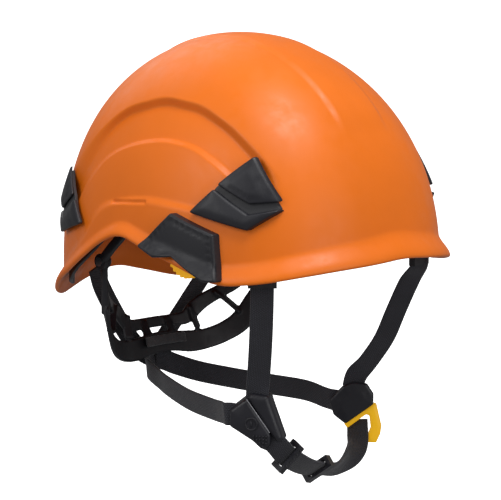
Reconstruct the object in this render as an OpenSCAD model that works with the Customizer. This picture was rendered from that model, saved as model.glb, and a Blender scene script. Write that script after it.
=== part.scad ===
// Arborist climbing helmet: an unvented shell on a webbing suspension, with a
// folding nape cradle set by two side wheels, and a four-point chin harness.
// Millimetres. +Z up, -Y front, -X the wearer's right. The origin is on the
// centre plane, at the middle of the head, level with the shell's side rim.

/* [Shell] */
// Height of the crown above the origin
shell_h = 157.3; // [150:0.1:165]
// Half-width of the shell at the rim
shell_half_w = 111; // [106:0.5:114]
// Half-length of the shell at the rim
shell_half_l = 133; // [130:0.5:138]
// Squareness of the plan outline, 2 is an ellipse
shell_n = 2.34; // [2.2:0.02:2.5]
// Fullness of the crown, higher is squarer
crown_n = 2.28; // [2:0.02:2.6]
// Wall of the shell
shell_wall = 2.6; // [2:0.1:3.5]
// How far the crown leans back
crown_lean = 7.5; // [4:0.5:10]
// How far the front brim flares out
brim_flare = 8; // [5:0.5:10]

/* [Headband] */
// Half-width of the nape cradle
cradle_half_w = 82; // [80:0.5:83]
// Pitch radius of the size pinion
pinion_r = 8; // [8:8]
// Radius of the thumb wheel
wheel_r = 16; // [15:0.5:16.5]
// Radius of the wheel axles and the cradle pins
pin_r = 2; // [1.8:0.1:2.2]

/* [Webbing] */
// Width of the harness webbing
web_w = 15; // [14:0.5:16]
// Thickness of the harness webbing
web_t = 1.7; // [1.5:0.1:2]
// Width of the crown webbing
crown_w = 20; // [16:1:22]

/* [Hidden] */
sides = [["right", -1], ["left", 1]];

orange = "darkorange";
black = [0.15, 0.15, 0.18];
grey = [0.25, 0.25, 0.28];
yellow = "gold";
gap = 0.4;

// Rim height by angle: 0 is the front, 90 the side, 180 the rear
rim_marks = [[0, 19.5], [22, 13.5], [33, 9], [42, 5], [55, 2], [65, 8], [73, 14.5],
    [80, 18.8], [86, 24.5], [94, 30.5], [104, 23.5], [110, 16], [117, 8], [123, 1],
    [139, -14], [150, -24.5], [158, -21.3], [165, -16.5], [180, -10]];
function folded(a) = let (b = abs(a) % 360) b > 180 ? 360 - b : b;
function rim_at(a) = lookup(folded(a), rim_marks);
function rim(a) = (rim_at(a - 4) + rim_at(a - 2) + rim_at(a) + rim_at(a + 2) + rim_at(a + 4)) / 5;
function ramp(x) = let (t = min(max(x, 0), 1)) t * t * (3 - 2 * t);
function unit(v) = v / norm(v);

// Point on the shell at angle a and height z, moved out level by off
function crown_k(z, off) =
    z <= 0 ? 1 : sqrt(max(0, 1 - pow(min(z / (shell_h + off), 1), crown_n)));
function plan_r(a, off) =
    1 / pow(pow(abs(sin(a)) / (shell_half_w + off), shell_n)
        + pow(abs(cos(a)) / (shell_half_l + off), shell_n), 1 / shell_n);
function flare(a, z) =
    let (out = lookup(folded(a), [[0, brim_flare], [35, brim_flare - 1], [60, 5], [85, 4], [125, 4.2], [145, 6.6], [160, 6],
            [180, 4.8]]),
        up = lookup(folded(a), [[0, 17], [60, 12], [90, 9], [130, 11], [180, 16]]))
    out * ramp((rim(a) + up - z) / up);
function shell_pt(a, z, off) =
    let (r = plan_r(a, off) * crown_k(z, off) + flare(a, z))
    [-r * sin(a), -r * cos(a) + crown_lean * pow(max(z, 0) / shell_h, 2), z];

// Closed body between two equal grids of points, open round in the first index
function grid_faces(m, n, base) = [for (i = [0 : m - 2], j = [0 : n - 2])
    [base + i * n + j, base + i * n + j + 1, base + (i + 1) * n + j + 1, base + (i + 1) * n + j]];
function flipped(faces) = [for (f = faces) [f[3], f[2], f[1], f[0]]];
function split(faces) = [for (f = faces) each [[f[0], f[1], f[2]], [f[0], f[2], f[3]]]];
module patch(a0, a1, z0, z1, off0, off1) {
    m = 13;
    n = 11;
    at_a = [for (i = [0 : m - 1]) a0 + (a1 - a0) * i / (m - 1)];
    at_z = [for (j = [0 : n - 1]) z0 + (z1 - z0) * j / (n - 1)];
    inner = [for (a = at_a, z = at_z) shell_pt(a, z, off0)];
    outer = [for (a = at_a, z = at_z) shell_pt(a, z, off1)];
    q = m * n;
    sides_z = [for (i = [0 : m - 2]) each [
        [i * n, (i + 1) * n, (i + 1) * n + q, i * n + q],
        [(i + 1) * n + n - 1, i * n + n - 1, i * n + n - 1 + q, (i + 1) * n + n - 1 + q]]];
    sides_a = [for (j = [0 : n - 2]) each [
        [j + 1, j, j + q, j + 1 + q],
        [(m - 1) * n + j, (m - 1) * n + j + 1, (m - 1) * n + j + 1 + q, (m - 1) * n + j + q]]];
    faces = concat(grid_faces(m, n, 0), flipped(grid_faces(m, n, q)), sides_z, sides_a);
    polyhedron(concat(inner, outer), split(faces), convexity = 6);
}

// Outline in the Y-Z plane, cut through the whole right side
module side_cut(outline) {
    rotate([90, 0, -90]) linear_extrude(140) polygon([for (p = outline) [-p[0], p[1]]]);
}
module mirrored(s) {
    if (s > 0) mirror([1, 0, 0]) children();
    else children();
}

// Flat band along points p, with its width along the vectors w
module band(p, w, width, thick) {
    n = len(p);
    tangent = [for (i = [0 : n - 1]) unit(p[min(i + 1, n - 1)] - p[max(i - 1, 0)])];
    wide = [for (i = [0 : n - 1]) unit(w[i] - (w[i] * tangent[i]) * tangent[i])];
    face = [for (i = [0 : n - 1]) cross(tangent[i], wide[i])];
    pts = [for (i = [0 : n - 1]) each [
        p[i] + wide[i] * width[i] / 2 + face[i] * thick / 2,
        p[i] - wide[i] * width[i] / 2 + face[i] * thick / 2,
        p[i] - wide[i] * width[i] / 2 - face[i] * thick / 2,
        p[i] + wide[i] * width[i] / 2 - face[i] * thick / 2]];
    walls = [for (i = [0 : n - 2], k = [0 : 3])
        [4 * i + k, 4 * i + (k + 1) % 4, 4 * i + 4 + (k + 1) % 4, 4 * i + 4 + k]];
    e = 4 * (n - 1);
    polyhedron(pts, split(flipped(concat(walls, [[3, 2, 1, 0], [e, e + 1, e + 2, e + 3]]))), convexity = 6);
}
function same(v, n) = [for (i = [1 : n]) v];
// Points between hand-set ones, on a Catmull-Rom curve
function between(p, i, t) =
    let (a = p[max(i - 1, 0)], b = p[i], c = p[i + 1], d = p[min(i + 2, len(p) - 1)])
    0.5 * (2 * b + (c - a) * t + (2 * a - 5 * b + 4 * c - d) * t * t + (3 * b - a - 3 * c + d) * t * t * t);
function smooth(p, k) = concat(
    [for (i = [0 : len(p) - 2], j = [0 : k - 1]) between(p, i, j / k)], [p[len(p) - 1]]);
module webbing(p, w, width = web_w, thick = web_t) {
    q = smooth(p, 4);
    v = smooth(w, 4);
    band(q, v, same(width, len(q)), thick);
}

// ---- shell ----
module shell_body() {
    m = 84;
    n = 22;
    lift = [for (j = [0 : n - 1]) sin(90 * j / n)];
    function row(off) = [for (i = [0 : m - 1], t = lift)
        let (a = 360 * i / m) shell_pt(a, rim(a) + (shell_h + off - rim(a)) * t, off)];
    outer = row(0);
    inner = row(-shell_wall);
    q = m * n;
    top = [[0, crown_lean, shell_h], [0, crown_lean, shell_h - shell_wall]];
    function ring(i) = (i % m) * n;
    skin = [for (i = [0 : m - 1], j = [0 : n - 2])
        [ring(i) + j, ring(i) + j + 1, ring(i + 1) + j + 1, ring(i + 1) + j]];
    lining = [for (f = skin) [f[3] + q, f[2] + q, f[1] + q, f[0] + q]];
    edge = [for (i = [0 : m - 1]) [ring(i), ring(i + 1), ring(i + 1) + q, ring(i) + q]];
    caps = [for (i = [0 : m - 1]) each [
        [ring(i + 1) + n - 1, 2 * q, ring(i) + n - 1],
        [ring(i) + n - 1 + q, 2 * q + 1, ring(i + 1) + n - 1 + q]]];
    polyhedron(concat(outer, inner, top), concat(split(flipped(concat(skin, lining, edge))), caps), convexity = 8);
}
module shell() { color(orange) shell_body(); }

// ---- headlamp clips: a base on the shell and a springy tab over its slot ----
tab_front = [[-82, 82], [-101, 56], [-86, 54], [-66, 65]];
base_front = [[-104, 51], [-87, 37], [-49, 47], [-63, 62], [-87, 48]];
floor_front = [[-82, 80], [-101, 50], [-88, 41], [-54, 48], [-64, 64]];
function rearward(outline) = [for (p = outline) [5 - p[0], p[1] - 15]];
module clip_base(floor_outline, raised_outline, a0, a1, z0, z1) {
    color(black) union() {
        intersection() {
            patch(a0, a1, z0, z1, gap, 1.5);
            side_cut(floor_outline);
        }
        intersection() {
            patch(a0 - 1, a1 + 1, z0 - 1, z1 + 1, gap + 0.3, 4.2);
            side_cut(raised_outline);
        }
    }
}
module clip_tab(outline, a0, a1, z0, z1, barrel, turn) {
    color(black) union() {
        intersection() {
            patch(a0, a1, z0, z1, 2.1, 5);
            side_cut(outline);
        }
        translate(barrel) rotate([0, 0, turn]) rotate([0, 90, 0]) cylinder(h = 6, r = 1.3, center = true, $fn = 32);
    }
}
module lamp_clip_front(s) { mirrored(s) clip_base(floor_front, base_front, 30, 68, 34, 88); }
module lamp_clip_rear(s) {
    mirrored(s) clip_base(rearward(floor_front), rearward(base_front), 112, 151, 19, 73);
}
module lamp_tab_front(s) { mirrored(s) clip_tab(tab_front, 30, 68, 50, 86, [-82.3, -81.2, 79], 122.2); }
module lamp_tab_rear(s) { mirrored(s) clip_tab(rearward(tab_front), 112, 151, 35, 71, [-87.3, 86.4, 64], 58.2); }

// ---- side covers with the accessory slot behind them ----
cover_outline = [[-14, 24], [-37, 46], [-69, 34], [-73, 4.8], [-64, 4.5], [-54, 7.5], [-41, 18.5], [-28, 17.5]];
slot_w = 30;
slot_gap = 3.2;
module side_cover(s) {
    color(black) mirrored(s) difference() {
        intersection() {
            patch(52, 86, 1, 48, gap, gap + slot_gap + 2.2);
            side_cut(cover_outline);
        }
        intersection() {
            patch(50, 88, -4, 30, 0, gap + slot_gap);
            side_cut([[-62, -2], [-62, 26], [-62 + slot_w, 26], [-62 + slot_w, -2]]);
        }
    }
}

// ---- size wheels, their pinions and axles ----
wheel_y = -39;
wheel_z = 19;
wheel_x = 96.5;
pinion_x = 87.5;
pinion_teeth = 16;
tooth_pitch = 2 * PI * pinion_r / pinion_teeth;
module along_x(x0, x1, r, fn = 48) {
    translate([min(x0, x1), 0, 0]) rotate([0, 90, 0]) cylinder(h = abs(x1 - x0), r = r, $fn = fn);
}
module thumb_wheel(s) {
    bumps = 26;
    color(yellow) mirrored(s) translate([0, wheel_y, wheel_z]) difference() {
        union() {
            along_x(-wheel_x - 2.8, -wheel_x + 2.8, wheel_r - 1, 96);
            for (i = [1 : bumps]) rotate([360 * i / bumps, 0, 0]) translate([0, 0, wheel_r - 1.1])
                along_x(-wheel_x - 2.8, -wheel_x + 2.8, 1.1, 16);
            along_x(-wheel_x, -pinion_x + 2.5, pinion_r - 1.1);
            for (i = [0 : pinion_teeth - 1]) rotate([360 * i / pinion_teeth, 0, 0])
                rotate([90, 0, 90]) translate([0, 0, -pinion_x - 2.5]) linear_extrude(5)
                polygon([[-0.85, pinion_r - 1.6], [-0.35, pinion_r + 0.7], [0.35, pinion_r + 0.7],
                    [0.85, pinion_r - 1.6]]);
        }
        along_x(-wheel_x - 10, 0, pin_r + 0.05);
    }
}
module wheel_axle(s) {
    color(grey) mirrored(s) translate([0, wheel_y, wheel_z]) union() {
        along_x(-wheel_x - 3.2, -80.5, pin_r);
        along_x(-80.9, -79.6, pin_r + 1.5);
    }
}
// Bracket inside the shell: holds the axle and guides the rack arm
module wheel_bracket(s) {
    color(black) mirrored(s) difference() {
        union() {
            translate([-83.8, -54, 12]) cube([2.6, 32, 36]);
            translate([-91, -52, 37]) cube([8, 28, 3]);
            translate([-94, -48, 45]) cube([11, 18, 3]);
        }
        translate([0, wheel_y, wheel_z]) along_x(-90, -76, pin_r);
    }
}

// ---- rack arms and the cradle's pivot pins, all sliding together ----
pivot_x = 79;
pivot_y = 61.3;
pivot_z = 3.6;
rack_y = [-50, -12];
module arm_knot(x, y, z, r = 3) { translate([0, y, z]) along_x(-x - 1.5, -x + 1.5, r, 32); }
arm_knots = [[87.5, -14, 31], [87.5, -3, 34], [87.5, 14, 34], [86.5, 32, 26], [84, 48, 14],
    [pivot_x + 2, pivot_y, pivot_z]];
module rack_arm(s) {
    first_gap = wheel_y - tooth_pitch / 2;
    color(black) mirrored(s) difference() {
        union() {
            translate([-89, rack_y[0], 28.3]) cube([3, rack_y[1] - rack_y[0], 5.7]);
            for (i = [-2 : 8]) translate([-89, first_gap + i * tooth_pitch, 0])
                rotate([90, 0, 90]) linear_extrude(3)
                polygon([[-0.85, 28.6], [-0.35, 26.3], [0.35, 26.3], [0.85, 28.6]]);
            for (i = [0 : len(arm_knots) - 2]) hull() {
                arm_knot(arm_knots[i][0], arm_knots[i][1], arm_knots[i][2]);
                arm_knot(arm_knots[i + 1][0], arm_knots[i + 1][1], arm_knots[i + 1][2]);
            }
            translate([0, pivot_y, pivot_z]) along_x(-pivot_x - 3.5, -pivot_x - 0.5, 5.4);
        }
        translate([0, pivot_y, pivot_z]) along_x(-pivot_x - 6, -pivot_x + 6, pin_r);
    }
}
module cradle_pin(s) {
    color(grey) mirrored(s) translate([0, pivot_y, pivot_z]) union() {
        along_x(-pivot_x - 4.2, -pivot_x + 3.6, pin_r);
        along_x(-pivot_x - 4.8, -pivot_x - 3.8, pin_r + 1.2);
        along_x(-pivot_x + 3.4, -pivot_x + 4.4, pin_r + 1.2);
    }
}

// ---- nape cradle: two bands round the nape, with ties, on two struts a side ----
cradle_t = 3;
lower_band = [[0, 88, -62.5], [-14, 87.5, -63.2], [-27, 85.5, -64.6], [-40, 82.5, -63], [-53, 76.5, -57.5],
    [-64, 70, -49], [-72, 65.5, -37], [-76, 63, -26]];
lower_h = [15, 15, 16, 15, 15, 16, 14, 8];
upper_band = [[0, 96, -47.5], [-14, 95.3, -47.5], [-28, 92, -47], [-34, 91, -42], [-42, 88.5, -36.5],
    [-52, 83, -30], [-62, 75.5, -25], [-70, 69, -18.5]];
upper_h = [8, 8, 10, 12, 11, 10, 9, 7];
front_strut = [[-77.6, 61.5, 1], [-77.3, 62.2, -10], [-76.6, 62.8, -22], [-75, 64, -34]];
rear_strut = [[-77.6, 62.5, 2], [-74.5, 66, -8], [-69, 70, -18]];
ties = [[[-32, 91, -42], [-33, 88.5, -50], [-34, 85, -58]],
    [[-50, 84, -32], [-57, 78, -39], [-64, 70.5, -48]],
    [[-12, 95, -49], [-12, 92, -54], [-12, 88, -60]]];
// Right-hand points carried across the centre plane to the left
function across_centre(p) = concat([for (i = [len(p) - 1 : -1 : 1]) p[i]], [for (q = p) [-q[0], q[1], q[2]]]);
function both_ways(v) = concat([for (i = [len(v) - 1 : -1 : 1]) v[i]], v);
module cradle_band(p, h, w) {
    q = across_centre(p);
    band(q, same(w, len(q)), both_ways(h), cradle_t);
}
module nape_cradle() {
    color(black) difference() {
        union() {
            cradle_band(lower_band, lower_h, [0, 0.3, 1]);
            cradle_band(upper_band, upper_h, [0, 0.25, 1]);
            for (s = [-1, 1]) mirrored(s) {
                band(front_strut, same([0, 1, 0], 4), [5, 5, 5.5, 8], cradle_t);
                band(rear_strut, same([0, 1, 0.3], 3), [5, 5, 7], cradle_t);
                for (t = ties) band(t, same([1, -0.3, 0], 3), same(7, 3), cradle_t - 0.6);
                translate([0, pivot_y, pivot_z]) along_x(-pivot_x, -pivot_x + 3, 5.2);
            }
        }
        for (s = [-1, 1]) mirrored(s) translate([0, pivot_y, pivot_z])
            along_x(-pivot_x - 3, -pivot_x + 6, pin_r + 0.05);
    }
}
module nape_pad() {
    p = [[-20, 82.9, -62.5], [-10, 84.1, -62.2], [0, 84.4, -62], [10, 84.1, -62.2], [20, 82.9, -62.5]];
    color(grey) band(p, same([0, 0.3, 1], 5), [8, 9, 9, 9, 8], 2.6);
}

// ---- front headband and brow pad ----
function brow_pt(a, r, z) = [-r * (80 / 106) * sin(a), -r * cos(a), z];
module front_headband() {
    at_a = [for (i = [-9 : 9]) 8.6 * i];
    color(black) band([for (a = at_a) brow_pt(a, 107, 26)], same([0, 0, 1], 19), same(24, 19), 2);
}
module brow_pad() {
    at_a = [for (i = [-6 : 6]) 9 * i];
    color(grey) band([for (a = at_a) brow_pt(a, 101.2, 26)], same([0, 0, 1], 13), same(28, 13), 5);
}

// ---- crown webbing in three crossing straps on six clips ----
crown_angles = [40, 90, 140];
clip_z = 62;
function crown_arc(a, top, t) =
    let (r = plan_r(a, -14) * crown_k(clip_z, -14), u = 2 * t - 1)
    [r * sin(a) * u, r * cos(a) * u + 3 - 2 * pow(abs(u), 2.4), clip_z - 6 + (top - clip_z + 6) * (1 - pow(abs(u), 2.4))];
module crown_strap(i) {
    a = crown_angles[i];
    p = [for (j = [0 : 16]) crown_arc(a, 112 + 3 * i, j / 16)];
    color(black) band(p, same([cos(a), -sin(a), 0], 17), same(crown_w, 17), 1.6);
}
module crown_patch() {
    color(grey) translate([0, 3, 119.6]) cylinder(h = 1.6, r = 15, $fn = 48);
}
module suspension_clips() {
    color(black) for (a = crown_angles, s = [0, 180]) {
        foot = shell_pt(a + s, clip_z, -shell_wall - 0.6);
        rotate([0, 0, -a - s]) translate([0, -norm([foot[0], foot[1]]), 0]) difference() {
            union() {
                translate([-15, 4.9, clip_z - 14]) cube([30, 14.3, 16]);
                translate([-5, 1.4, clip_z - 14]) cube([10, 5, 8]);
            }
            translate([-crown_w / 2 - 1.5, 6.6, clip_z - 20]) cube([crown_w + 3, 30, 40]);
        }
    }
}

// ---- harness webbing ----
facing = 46;
across = [cos(facing), -sin(facing), 0];
front_right = [[-80, -89, 3], [-79.5, -88, -18], [-76.5, -84, -40], [-71.6, -77.6, -61], [-70.2, -75.3, -70],
    [-70, -75, -80]];
front_left = [[77.5, -87, 3], [77.4, -86.8, -2], [75.8, -80.6, -13], [71.5, -72.2, -33], [65.8, -64.8, -52], [59.8, -54.4, -69],
    [55.9, -46.7, -79], [55.5, -46, -88]];
upper_right = [[-60, 95, -6], [-53.5, 97.5, -20], [-38, 100, -41], [-22, 100.8, -60], [-9, 99.5, -71.5],
    [-1, 98.6, -76.2]];
upper_left = [[64, 99, -6], [57.5, 100.5, -20], [40, 102.6, -41], [22, 103.3, -60], [9, 102.2, -71.5],
    [1, 101.2, -76.2]];
lower_right = [[-0.9, 95, -78.2], [-5, 94.2, -78.6], [-9, 92.2, -79.2], [-15, 86.4, -81.5], [-24, 66, -84], [-36, 42.7, -85.2],
    [-50, 8, -87.5], [-64, -29, -87], [-75, -48.5, -84.9],
    [-80.2, -56.7, -84.6], [-78.5, -59.9, -85], [-75.1, -65.9, -86.5]];
lower_left = [[0.9, 95, -78.2], [5, 94.2, -78.7], [9, 92.4, -80], [16, 87.5, -83], [26, 72, -87], [40, 39.6, -91],
    [44, 20.6, -91.6], [49, -8, -93], [48.8, -26, -96], [47.9, -34.6, -97], [50.4, -39.5, -97.5]];
lower_w = [0, 0.15, 1];
module front_strap(s) {
    p = s < 0 ? front_right : front_left;
    w = s < 0 ? concat(same(across, 4), same([0.5, -0.866, 0], 2))
        : concat(same([0.99, 0.14, 0], 4), same([0.9, -0.3, 0], 2), same([0.616, -0.788, 0], 2));
    color(black) webbing(p, w);
}
module rear_strap_upper(s) {
    p = s < 0 ? upper_right : upper_left;
    color(black) webbing(p, same([-0.74 * s, 0, 0.67], len(p)));
}
module rear_strap_lower(s) {
    p = s < 0 ? lower_right : lower_left;
    color(black) webbing(p, same(lower_w, len(p)));
}
// Plate over the sewn crossing of the rear straps, under the nape
module nape_guide() { color(black) translate([-10, 103.4, -84]) cube([20, 1.8, 16]); }
module strap_anchor_front(s) {
    at = s < 0 ? [-80, -89, 6] : [77.5, -87, 6];
    turn = s < 0 ? -facing : 8;
    color(black) translate(at) rotate([0, 0, turn]) difference() {
        translate([-9.2, -2.4, -6]) cube([18.4, 4.8, 12]);
        translate([-8, -1.4, -12]) cube([16, 2.8, 12]);
    }
}
module strap_anchor_rear(s) {
    p = [for (a = [104, 110, 116, 122, 128, 134, 140]) shell_pt(a, rim(a) + 11, -shell_wall - 2.2)];
    foot = shell_pt(147, -8, -shell_wall - 3);
    color(black) mirrored(s) union() {
        band(concat(p, [foot]), same([0, 0, 1], 8), [9, 13, 15, 16, 16, 17, 18, 18], 2.4);
    }
}

// ---- side adjusters: base, hinged flap and its pin ----
adjuster_outline = [[-7.7, 15.5], [-4.3, 18.9], [8.9, 17.2], [10.3, 12.6], [14.6, 0.7], [18.6, -10.3],
    [17.5, -12], [7.9, -19.5], [4.3, -20.3], [-2.5, -14.3], [-18, -4.6], [-18.8, 0], [-18.3, 6.9]];
flap_outline = [[-6.5, 14], [-17.2, 6.2], [-17.6, -4.2], [-2.3, -13.2], [4.3, -19], [8.6, -15.4], [9.4, -8.6]];
compact_outline = [[-10.3, 8.9], [1.4, 15.8], [12, 13], [13.7, -3.4], [-1.7, -14.4], [-7.6, -13], [-14.4, -2.7]];
compact_flap = [[-9.2, 6.2], [-13, -2.6], [-7.2, -11.4], [-2, -12.8], [5, -7.8]];
adjuster_at = [[-70, -75, -88], [55.5, -46, -98]];
adjuster_turn = [-60, 128];
module placed(s) {
    k = s < 0 ? 0 : 1;
    translate(adjuster_at[k]) rotate([0, 0, adjuster_turn[k]]) mirror([k, 0, 0]) children();
}
// Outline in the local X-Z plane between depths y0 and y1
module slab(outline, y0, y1) {
    translate([0, y1, 0]) rotate([90, 0, 0]) linear_extrude(y1 - y0) polygon(outline);
}
creases = [[[-7, 14.4], [9.8, -8.6]], [[-7.4, 8.2], [6.6, -6.2]]];
module on_crease(s) {
    c = creases[s < 0 ? 0 : 1];
    along = c[1] - c[0];
    translate([c[0][0], -3, c[0][1]]) rotate([0, -atan2(along[1], along[0]), 0]) children();
}
module adjuster_base(s) {
    right_ridge = [[-4.8, 15.6], [-3, 17.4], [7.9, 16], [13.4, 0.6], [17, -10.6], [14, -13], [11.6, -8.6]];
    left_ridge = [[-5.4, 9.8], [1.6, 14.4], [10.8, 11.8], [12.4, -3], [8.6, -6]];
    color(black) placed(s) difference() {
        union() {
            slab(s < 0 ? adjuster_outline : compact_outline, 1.3, 4.4);
            slab(s < 0 ? right_ridge : left_ridge, -4.6, 4.4);
        }
        slab([[-8.2, 25], [-8.2, 2], [8.2, 2], [8.2, 25]], -1.4, 1.4);
        slab([[-5, -30], [-5, -12], [2, -10], [13, -1], [20, -4], [24, -30]], -2, 2.7);
        slab([[-26, -13], [-26, 11], [-13, 11], [-13, -13]], 1, 1.9);
        on_crease(s) along_x(-6, 36, 1.35, 32);
    }
}
module adjuster_flap(s) {
    color(black) placed(s) difference() {
        slab(s < 0 ? flap_outline : compact_flap, -4.6, -1.7);
        on_crease(s) along_x(-6, 36, 0.85, 32);
    }
}
module adjuster_pin(s) { color(grey) placed(s) on_crease(s) along_x(1, s < 0 ? 27 : 18, 0.8, 32); }

// ---- chin strap, its slider and keeper, and the quick-release buckle ----
chin_lower = [[-66.8, -79.5, -96.6], [-62.7, -85.8, -104.2], [-53.5, -86, -112.6], [-32, -81, -123.5],
    [-12, -75.4, -129.8], [6, -70, -133.6], [21, -65.3, -134.4]];
chin_lower_w = [[0.4, -0.69, 0.6], [0.45, -0.6, 0.66], [0.47, -0.48, 0.74], [0.38, -0.65, 0.65], [0.31, -0.75, 0.59],
    [0.25, -0.78, 0.57], [0.15, -0.75, 0.62]];
chin_upper = [[25, -64.1, -133.4], [36, -60.2, -130.6], [45, -57.4, -127.6], [50.7, -54.2, -126.1], [55.1, -49.5, -123.8],
    [60.8, -47.3, -120.6], [62.8, -49.1, -117.1]];
chin_upper_w = [[0.12, -0.72, 0.66], [-0.05, -0.5, 0.8], [-0.25, -0.1, 0.9], [-0.42, 0.3, 0.8], [-0.48, 0.615, 0.6],
    [-0.48, 0.615, 0.6], [-0.48, 0.615, 0.6]];
module chin_strap_lower() { color(black) webbing(chin_lower, chin_lower_w, web_w, 2.4); }
module chin_strap_upper() { color(black) webbing(chin_upper, chin_upper_w, web_w, 2.4); }
module loop_on(p, turn, tip, roll, w, h, depth, wall) {
    translate(p) rotate([0, 0, turn]) rotate([0, tip, 0]) rotate([roll, 0, 0]) difference() {
        cube([depth, h, w], center = true);
        cube([depth + 2, h - 2 * wall, w - 2 * wall], center = true);
    }
}
module chin_slider() { color(black) loop_on([-52.8, -85.9, -113.1], 4, 32, 27, 22, 10, 4, 2); }
module chin_keeper() { color(black) loop_on([-12, -75.4, -129.8], 17, 15, 52, 21.5, 8.4, 7, 1.8); }
// The buckle lies in the left adjuster's plane, along its lower edge
module buckle_body() { color(black) placed(1) slab([[9.2, -7.4], [14.2, -3.9], [15.6, -6], [10.6, -9.6]], -4.4, -2.3); }
module buckle_frame() {
    color(yellow) placed(1) slab([[-5.4, -17.2], [16.6, -1.5], [18.3, -3.4], [20.1, -18.1], [18.8, -23.7],
        [12.6, -29], [12.4, -26], [14.6, -21.6], [15.4, -17.6], [14, -7.4], [-4, -19.9]], -1.9, 0.9);
}

shell();
for (q = sides) {
    lamp_clip_front(q[1]);
    lamp_clip_rear(q[1]);
    lamp_tab_front(q[1]);
    lamp_tab_rear(q[1]);
    side_cover(q[1]);
    thumb_wheel(q[1]);
    wheel_axle(q[1]);
    wheel_bracket(q[1]);
    rack_arm(q[1]);
    cradle_pin(q[1]);
    strap_anchor_front(q[1]);
    strap_anchor_rear(q[1]);
    front_strap(q[1]);
    rear_strap_upper(q[1]);
    rear_strap_lower(q[1]);
    adjuster_base(q[1]);
    adjuster_flap(q[1]);
    adjuster_pin(q[1]);
}
nape_cradle();
nape_pad();
front_headband();
brow_pad();
suspension_clips();
crown_strap(0);  // crown_strap_front
crown_strap(1);  // crown_strap_middle
crown_strap(2);  // crown_strap_rear
crown_patch();
nape_guide();
chin_strap_lower();
chin_strap_upper();
chin_slider();
chin_keeper();
buckle_body();
buckle_frame();
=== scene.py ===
# Looks for the arborist helmet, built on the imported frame. Points are in millimetres until they reach a mesh.
import math

import bmesh
import bpy
import numpy as np
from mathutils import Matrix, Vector
from mathutils.geometry import delaunay_2d_cdt


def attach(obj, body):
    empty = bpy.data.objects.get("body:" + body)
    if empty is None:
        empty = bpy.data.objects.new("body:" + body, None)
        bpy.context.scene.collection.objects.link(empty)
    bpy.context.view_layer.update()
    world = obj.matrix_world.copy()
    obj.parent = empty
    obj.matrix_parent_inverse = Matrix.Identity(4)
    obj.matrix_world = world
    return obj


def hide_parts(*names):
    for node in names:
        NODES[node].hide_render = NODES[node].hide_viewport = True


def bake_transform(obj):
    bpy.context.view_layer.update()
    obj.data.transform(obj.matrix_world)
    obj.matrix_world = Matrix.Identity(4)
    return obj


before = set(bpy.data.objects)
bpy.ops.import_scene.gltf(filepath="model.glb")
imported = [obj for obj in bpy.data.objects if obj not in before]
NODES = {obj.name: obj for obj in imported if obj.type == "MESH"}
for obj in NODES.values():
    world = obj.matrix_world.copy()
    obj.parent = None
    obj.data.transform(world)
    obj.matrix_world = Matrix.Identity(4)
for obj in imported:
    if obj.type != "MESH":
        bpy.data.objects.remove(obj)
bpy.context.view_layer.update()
scene = bpy.context.scene
SIDES = (("right", -1), ("left", 1))
FLOOR_Z = -190
WEB_W, WEB_T, CHIN_T = 15, 1.7, 2.4
# the left front clip sits this much further back than its CAD piece
LEFT_CLIP_BACK = 7.5


# ---------------------------------------------------------------- camera, floor, light
right = np.array([0.695, -0.719, 0.0])
aim = np.array([0, 0, 9.5]) + right
el = math.radians(7)
back = np.array([-0.719 * math.cos(el), -0.695 * math.cos(el), math.sin(el)])
camera = bpy.data.objects.new("camera", bpy.data.cameras.new("camera"))
scene.collection.objects.link(camera)
camera.location = (aim + 1400 * back) / 1000
camera.rotation_euler = Vector(back).to_track_quat("Z", "Y").to_euler()
camera.data.lens = 146.4
camera.data.sensor_width = 36
camera.data.clip_end = 50
scene.camera = camera
scene.view_settings.view_transform = "Standard"


def area(name, at, size, power, tint=(1, 1, 1), to=(0, 0, 0)):
    lamp = bpy.data.objects.new(name, bpy.data.lights.new(name, "AREA"))
    scene.collection.objects.link(lamp)
    lamp.location = at
    lamp.rotation_euler = (Vector(at) - Vector(to)).to_track_quat("Z", "Y").to_euler()
    lamp.data.size = size
    lamp.data.energy = power
    lamp.data.color = tint


area("key", (-0.2, -0.8, 2.1), 0.9, 30)
area("side", (-1.9, 0.3, 1.1), 1.2, 12)
area("fill", (-0.3, -2.0, 0.4), 1.4, 9)
area("back", (0.5, 1.6, 1.4), 1.4, 7)
world = bpy.data.worlds.new("world")
scene.world = world
world.use_nodes = True
world.node_tree.nodes["Background"].inputs[0].default_value = (1, 1, 1, 1)
world.node_tree.nodes["Background"].inputs[1].default_value = 0.26


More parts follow.
